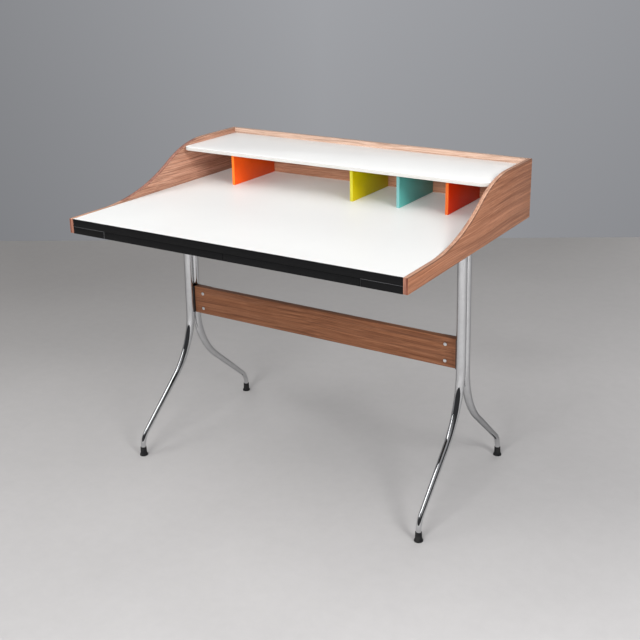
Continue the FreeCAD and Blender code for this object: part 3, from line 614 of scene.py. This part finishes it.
def leg_tube(node_name, side, facing):
    """A smooth chrome leg in place of its CAD node."""
    mesh = bmesh.new()
    rings = []
    for reach, height, angle, diameter in leg_path():
        ring = []
        drop = BODY_BOTTOM - height
        for step in range(TUBE_SIDES):
            spin = math.tau * step / TUBE_SIDES
            out = math.cos(spin) * diameter / 2
            along = math.sin(spin) * diameter / 2
            x = side * (LEG_TOP_REACH + drop * LEG_LEAN_SHARE) + out
            y = LEG_PLANE + facing * (reach + along * math.cos(angle))
            z = height + along * math.sin(angle)
            ring.append(mesh.verts.new(Vector((x, y, z)) * MM))
        rings.append(ring)
    for upper, lower in zip(rings, rings[1:]):
        for step in range(TUBE_SIDES):
            after = (step + 1) % TUBE_SIDES
            mesh.faces.new((upper[step], upper[after], lower[after], lower[step]))
    mesh.faces.new(rings[0])
    mesh.faces.new(rings[-1])
    bmesh.ops.recalc_face_normals(mesh, faces=mesh.faces)
    piece = new_piece(f"{node_name}_shown", mesh, "chrome")
    mark_sharp(piece, TUBE_SHADE_DEGREES)
    stand_for(piece, node_name)


# Bevel widths in millimetres by how a node's name starts; a node that is not named keeps its CAD shape.
BEVELS = [
    ("side_panel", 1.5),
    ("back_panel", 0.9),
    ("desktop_front_edge", 0.3),
    ("upper_shelf", 0.8),
    ("divider", 0.6),
    ("end_filler", 0.35),
    ("drawer_left_front", 0.5),
    ("drawer_right_front", 0.5),
    ("stretcher_b", 0.3),
    ("stretcher_nuts", 0.3),
    ("stretcher", 1.2),
    ("leg_plate", 0.4),
    ("foot_caps", 0.5),
]


def finish_nodes():
    """Give every CAD node its look, and round the edges of the ones in sight."""
    for node_name in sorted(NODES):
        if node_name.startswith("leg_tube"):
            side = -1 if node_name.endswith("left") else 1
            facing = -1 if "front" in node_name else 1
            leg_tube(node_name, side, facing)
            continue
        dress(node_name)
        width = next((width for start, width in BEVELS if node_name.startswith(start)), None)
        if width:
            soften(node_name, width)


# Studio

def level_axes():
    """Level directions to the right of the photo's camera and away from it."""
    azimuth = math.radians(CAMERA_AZIMUTH)
    return (Vector((math.cos(azimuth), math.sin(azimuth), 0)),
            Vector((-math.sin(azimuth), math.cos(azimuth), 0)))


# Where the floor ends, in metres: to each side, behind the desk and in front of it.
FLOOR_REACH, FLOOR_BEHIND, FLOOR_IN_FRONT = 18.0, 2.25, 4.6

# The way in which the floor darkens, as in the photo, and from where to where, in metres.
# This darkening is painted shade, for the lamps' light falling off across the floor.
DARKER_WAY = (-0.80, 0.60, 0)
DARKER_FROM, DARKER_TO = -1.0, 2.0

# Where the floor fades in front of the desk, in metres.
FADE_FROM, FADE_TO = 1.9, 5.5

FLOOR_PALE, FLOOR_DARK = (0.525, 0.514, 0.512), (0.300, 0.288, 0.280)
FLOOR_FADED = (0.45, 0.45, 0.45)


def floor_look():
    """A pale concrete-like floor with slow clouds, darkened towards the left and far in front as painted
    shade.
    """
    look, shader = new_look("studio_floor")
    clouds = noise(look, place(look), scale=1.1, detail=6, roughness=0.6)
    specks = noise(look, place(look), scale=26, detail=6, roughness=0.7)
    left = along_direction(look, place(look), DARKER_WAY, DARKER_FROM, DARKER_TO)
    front = along_direction(look, place(look), -level_axes()[1], FADE_FROM, FADE_TO)
    base = ramp(look, left, [(0.0, FLOOR_PALE), (1.0, FLOOR_DARK)])
    fading = ramp(look, front, [(0.0, PLAIN), (1.0, FLOOR_FADED)])
    cloudy = ramp(look, clouds, [(0.3, (0.94, 0.94, 0.94)), (0.7, (1.04, 1.04, 1.04))])
    flecks = ramp(look, specks, [(0.35, (0.95, 0.95, 0.95)), (0.65, PLAIN)])
    ground = multiplied(look, 1.0, multiplied(look, 1.0, base, fading), cloudy)
    surface(look, shader, multiplied(look, 0.7, ground, flecks), spread(look, clouds, 0.45, 0.6))
    return look


def camera_axes():
    """Right, up and back of the photo's camera."""
    azimuth = math.radians(CAMERA_AZIMUTH)
    elevation = math.radians(CAMERA_ELEVATION)
    roll = math.radians(CAMERA_ROLL)
    back = Vector((math.sin(azimuth) * math.cos(elevation),
                   -math.cos(azimuth) * math.cos(elevation), math.sin(elevation)))
    level = level_axes()[0]
    upright = back.cross(level)
    right = math.cos(roll) * level + math.sin(roll) * upright
    up = -math.sin(roll) * level + math.cos(roll) * upright
    return right, up, back


def studio_floor():
    """The floor, which ends behind the desk where the backdrop begins in the photo."""
    right, away = level_axes()
    side, behind, in_front = right * FLOOR_REACH, away * FLOOR_BEHIND, -away * FLOOR_IN_FRONT
    corners = [behind - side, behind + side, in_front + side, in_front - side]
    mesh = bmesh.new()
    mesh.faces.new([mesh.verts.new(corner) for corner in reversed(corners)])
    data = bpy.data.meshes.new("studio_floor")
    mesh.to_mesh(data)
    mesh.free()
    data.materials.append(floor_look())
    piece = bpy.data.objects.new("studio_floor", data)
    SCENE.collection.objects.link(piece)


# The backdrop's greys from left to right, and how much darker it is below.
BACKDROP_GREYS = [(0.0, (0.248, 0.253, 0.268)), (0.5, (0.356, 0.363, 0.384)), (1.0, (0.303, 0.309, 0.328))]
LOW_SHADE = (0.86, 0.86, 0.86)

# From where to where the backdrop changes across the picture and up it, as shares of the direction seen.
ACROSS_SPAN, UP_SPAN = (-0.33, 0.27), (-0.27, -0.05)

# What lights the desk and is mirrored in the chrome: dark in front, grey behind and pale overhead.
DARK_FRONT = (0.04, 0.04, 0.042)
GREY_BEHIND = (0.29, 0.295, 0.305)
PALE_OVERHEAD = (0.36, 0.36, 0.37)
BEHIND_SPAN, OVERHEAD_SPAN = (-0.1, 0.1), (0.45, 0.75)


def surroundings():
    """A grey backdrop for the camera, and plainer greys for the light and the chrome."""
    world = bpy.data.worlds.new("studio_world")
    world.use_nodes = True
    right, away = level_axes()
    upward = (0, 0, 1)
    outlook = add(world, "ShaderNodeTexCoord").outputs["Generated"]
    sideways = along_direction(world, outlook, right, *ACROSS_SPAN)
    height = along_direction(world, outlook, upward, *UP_SPAN)
    behind = along_direction(world, outlook, away, *BEHIND_SPAN)
    overhead = along_direction(world, outlook, upward, *OVERHEAD_SPAN)
    across = ramp(world, sideways, BACKDROP_GREYS)
    shade = ramp(world, height, [(0.0, LOW_SHADE), (1.0, PLAIN)])
    seen = multiplied(world, 1.0, across, shade)
    around = ramp(world, behind, [(0.0, DARK_FRONT), (1.0, GREY_BEHIND)])
    above = ramp(world, overhead, [(0.0, DARK_FRONT), (1.0, PALE_OVERHEAD)])
    light = mixed(world, 1.0, around, above, "LIGHTEN")
    by_camera = add(world, "ShaderNodeLightPath").outputs["Is Camera Ray"]
    background = world.node_tree.nodes["Background"]
    put(world, background.inputs["Color"], mixed(world, by_camera, light, seen))
    SCENE.world = world


def softbox(name, at, aim, size, watts, mirrored=True):
    """A soft lamp that points at a place, in metres; the chrome may be kept from mirroring it."""
    data = bpy.data.lights.new(name, "AREA")
    data.shape = "RECTANGLE"
    data.size, data.size_y = size
    data.energy = watts
    lamp = bpy.data.objects.new(name, data)
    lamp.visible_glossy = mirrored
    lamp.location = at
    lamp.rotation_euler = (Vector(aim) - Vector(at)).to_track_quat("-Z", "Y").to_euler()
    SCENE.collection.objects.link(lamp)


def lights():
    """Soft lamps at the right, low in front, at the left, overhead and behind."""
    softbox("key", at=(3.6, -1.7, 2.7), aim=(0, 0, 0.6), size=(1.2, 1.4), watts=120, mirrored=False)
    softbox("fill", at=(0.6, -5.5, 2.4), aim=(0, 0, 0.75), size=(2.4, 1.0), watts=335, mirrored=False)
    softbox("tower", at=(-2.3, -2.3, 2.5), aim=(0, 0, 0.5), size=(0.7, 1.9), watts=15)
    softbox("top", at=(-1.7, -0.9, 3.5), aim=(-0.2, 0, 0.6), size=(3.0, 1.4), watts=44)
    softbox("rear", at=(0.6, 4.4, 2.4), aim=(0, 0.3, 0.6), size=(2.4, 1.2), watts=48, mirrored=False)


def camera():
    """The camera that took the photo."""
    right, up, back = camera_axes()
    data = bpy.data.cameras.new("photo_camera")
    data.sensor_fit = "HORIZONTAL"
    data.sensor_width = SENSOR_WIDTH_MM
    data.lens = FOCAL_PIXELS / IMAGE_SIZE * SENSOR_WIDTH_MM
    data.shift_x = (IMAGE_SIZE / 2 - CENTRE_COLUMN) / IMAGE_SIZE
    data.shift_y = (CENTRE_ROW - IMAGE_SIZE / 2) / IMAGE_SIZE
    data.clip_start, data.clip_end = NEAREST_SEEN, FARTHEST_SEEN
    turned = Matrix((right, up, back)).transposed().to_4x4()
    eye = bpy.data.objects.new("photo_camera", data)
    eye.matrix_world = Matrix.Translation(CAMERA_TARGET + back * CAMERA_DISTANCE) @ turned
    SCENE.collection.objects.link(eye)
    SCENE.camera = eye


finish_nodes()
studio_floor()
surroundings()
lights()
camera()
SCENE.view_settings.view_transform = "Standard"

bpy.context.view_layer.update()
